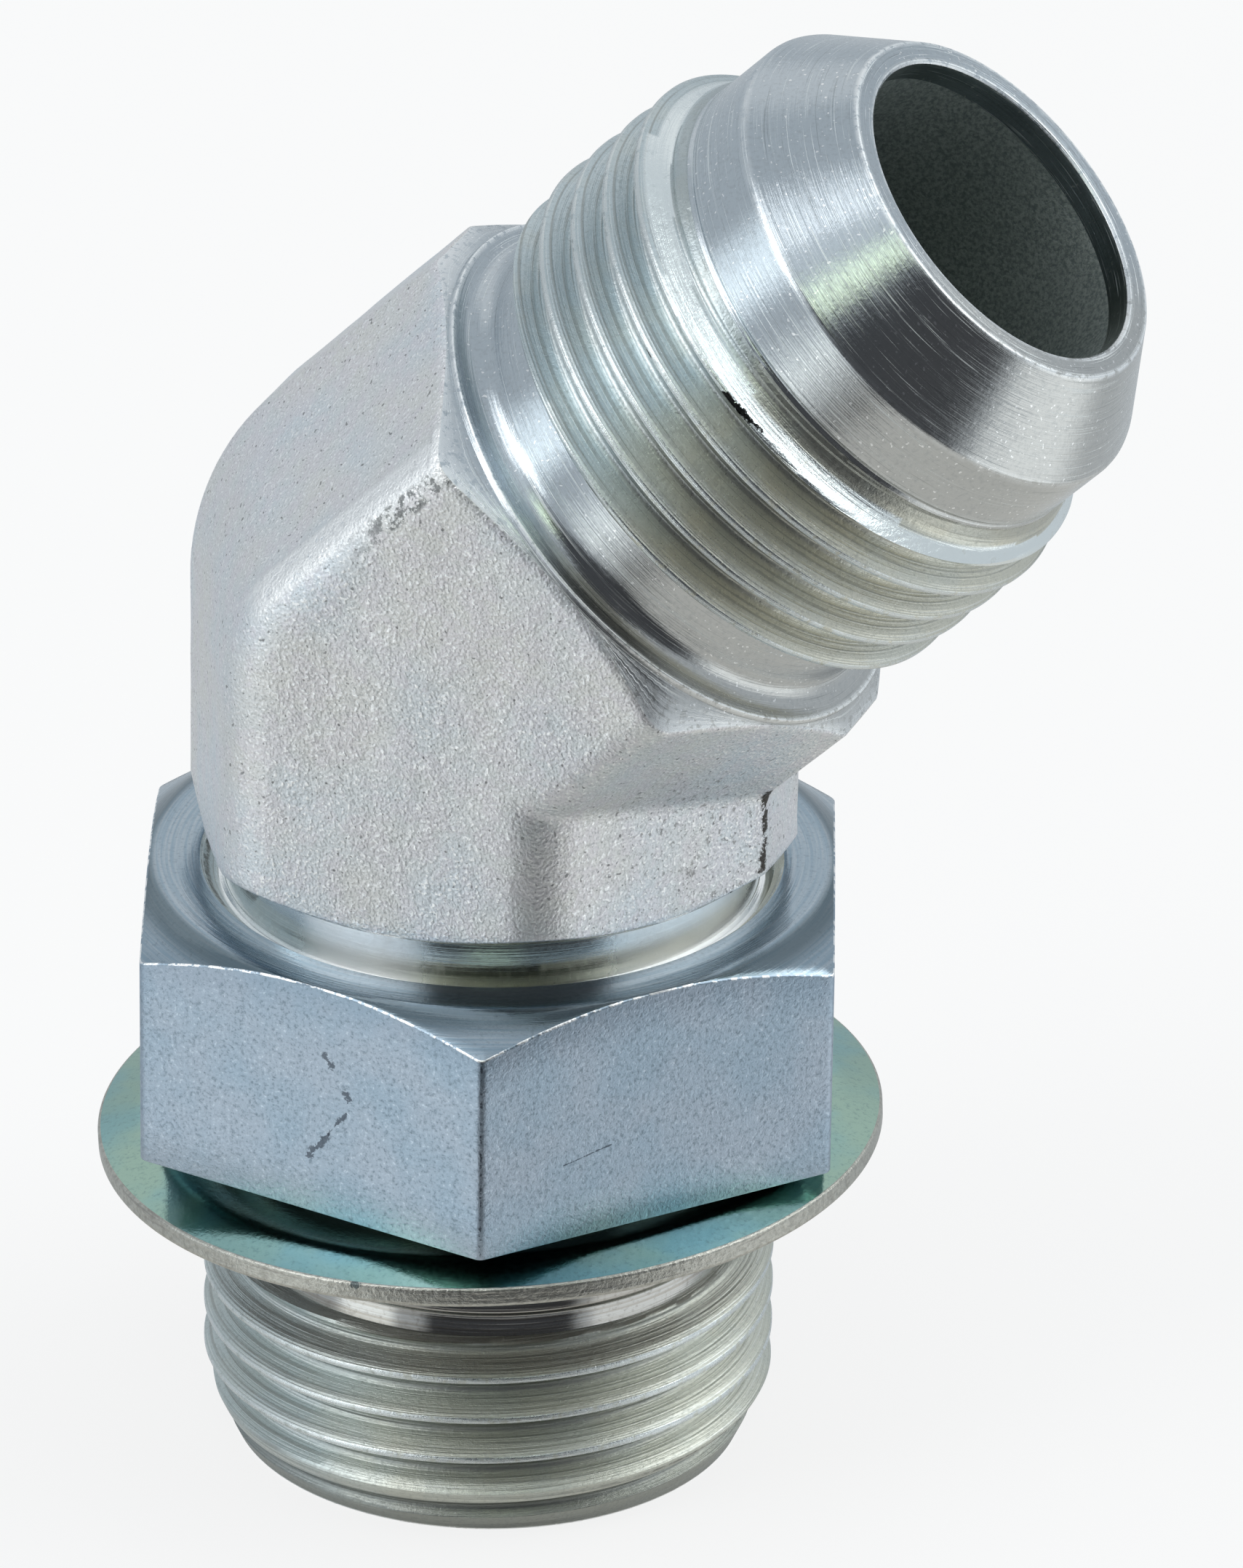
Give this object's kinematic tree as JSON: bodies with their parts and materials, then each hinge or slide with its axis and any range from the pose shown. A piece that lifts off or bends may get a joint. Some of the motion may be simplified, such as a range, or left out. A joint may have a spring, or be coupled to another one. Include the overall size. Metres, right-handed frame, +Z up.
{
  "type": "forty-five degree elbow fitting",
  "caption": "Hydraulic elbow bent at forty-five degrees, with a threaded flare end on its arm and a threaded stud end that carries a hexagon locknut and a thin retaining washer.",
  "frame": {"origin": "centre of the stud's end face, on the stud's axis", "axes": "+Z runs up the stud, the arm leans from +Z towards +X in the XZ plane, and +Y is square to both legs"},
  "size_m": [0.049, 0.037, 0.0724],
  "materials": {
    "plated_forging": "satin plated steel, sparkling matt forging skin on the hexagon and bright turned ends",
    "nut_zinc": "bluish satin zinc on drawn hexagon bar, turned top chamfer",
    "washer_zinc": "bright zinc with a green passivation tint"
  },
  "bodies": {
    "elbow": {"elbow_body": "plated_forging"},
    "washer": {"retaining_washer": "washer_zinc"},
    "locknut": {"locknut": "nut_zinc"}
  },
  "joints": [
    {"name": "washer_slide", "type": "slide", "parent": "elbow", "child": "washer", "axis": [0, 0, 1], "range_m": [-0.00372, 0.00108]},
    {"name": "locknut_turn", "type": "hinge", "parent": "washer", "child": "locknut", "pos_m": [0, 0, 0.0236], "axis": [0, 0, 1], "range_deg": [-630, 180]}
  ],
  "couplings": [
    {"joint": "washer_slide", "follows": "locknut_turn", "m_per_rad": 0.00033693}
  ]
}
